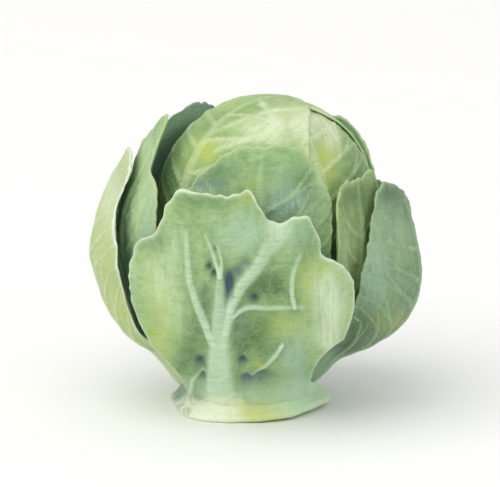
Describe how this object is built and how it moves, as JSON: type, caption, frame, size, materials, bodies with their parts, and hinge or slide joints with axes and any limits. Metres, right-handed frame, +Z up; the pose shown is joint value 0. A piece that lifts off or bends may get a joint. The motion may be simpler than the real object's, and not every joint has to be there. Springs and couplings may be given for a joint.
{
  "type": "brussels sprout",
  "caption": "Brussels sprout standing on its cut stem: a round tight head of wrapped leaves, held in loose cupped outer leaves.",
  "frame": {"origin": "centre of the cut face of the stem, which the sprout stands on", "axes": "+Z up from the cut face towards the top of the head, -Y towards the viewer of the picture, who sees the large veined leaf, +X to the viewer's right"},
  "size_m": [0.0396, 0.0372, 0.0379],
  "materials": {
    "cut_stem": "smooth cream and pale green flesh",
    "head_leaf": "satin pale green, with whitish veins",
    "veined_leaf": "satin yellow green, with a pale raised midrib and veins",
    "pale_leaf": "satin pale yellow green",
    "blue_green_leaf": "matt blue green, with a pale waxy bloom",
    "inner_leaf": "satin mid green",
    "dark_leaf": "matt dark blue green",
    "shaded_leaf": "matt olive green"
  },
  "bodies": {
    "root": {"stem": "cut_stem", "head": "head_leaf", "front_leaf": "veined_leaf", "left_outer_leaf": "pale_leaf", "right_outer_leaf": "blue_green_leaf", "back_left_outer_leaf": "blue_green_leaf", "back_right_outer_leaf": "blue_green_leaf", "left_inner_leaf": "inner_leaf", "back_left_inner_leaf": "dark_leaf", "back_right_inner_leaf": "inner_leaf", "right_inner_leaf": "shaded_leaf", "front_inner_leaf": "inner_leaf"}
  },
  "joints": []
}
